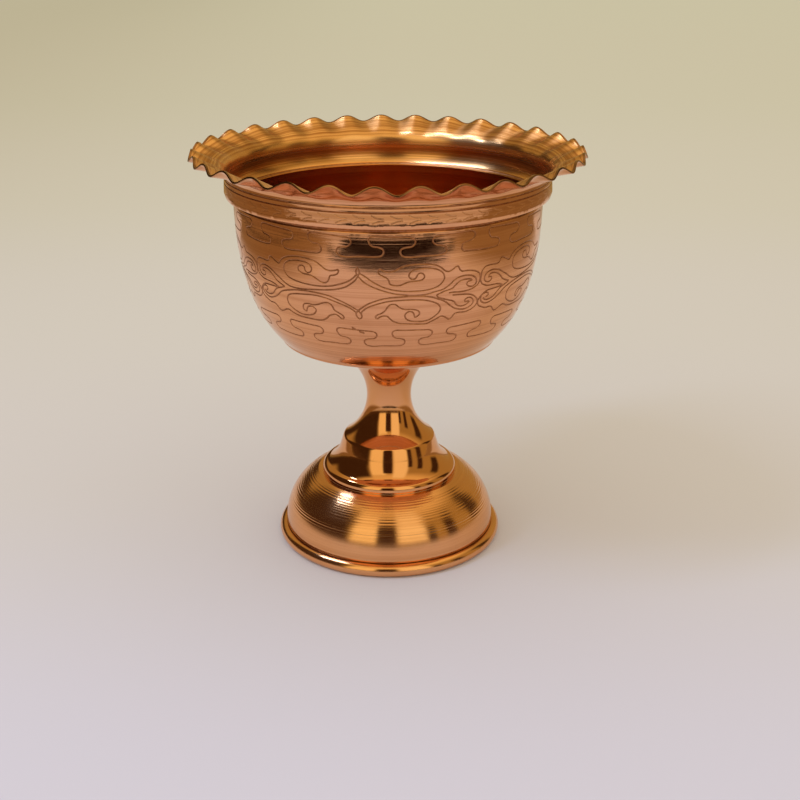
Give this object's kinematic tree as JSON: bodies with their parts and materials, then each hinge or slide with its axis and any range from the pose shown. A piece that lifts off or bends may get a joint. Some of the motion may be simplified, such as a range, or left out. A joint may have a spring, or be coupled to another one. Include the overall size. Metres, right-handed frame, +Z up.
{
  "type": "offering bowl",
  "caption": "Footed copper offering bowl with a scalloped brim, engraved sides, a trumpet stem and a domed base with a rolled edge.",
  "frame": {"origin": "on the table, under the middle of the base", "axes": "+Z up along the axis of stem and bowl; -Y is the side that the picture shows"},
  "size_m": [0.15, 0.1502, 0.1607],
  "materials": {
    "bowl_copper": "satin, engraved",
    "stem_copper": "polished",
    "base_copper": "polished, with turned lines",
    "wire": "drawn copper wire",
    "solder": "soft solder"
  },
  "bodies": {
    "root": {"bowl": "bowl_copper", "stem": "stem_copper", "base": "base_copper", "base_wire": "wire", "bowl_solder": "solder", "base_solder": "solder"}
  },
  "joints": []
}
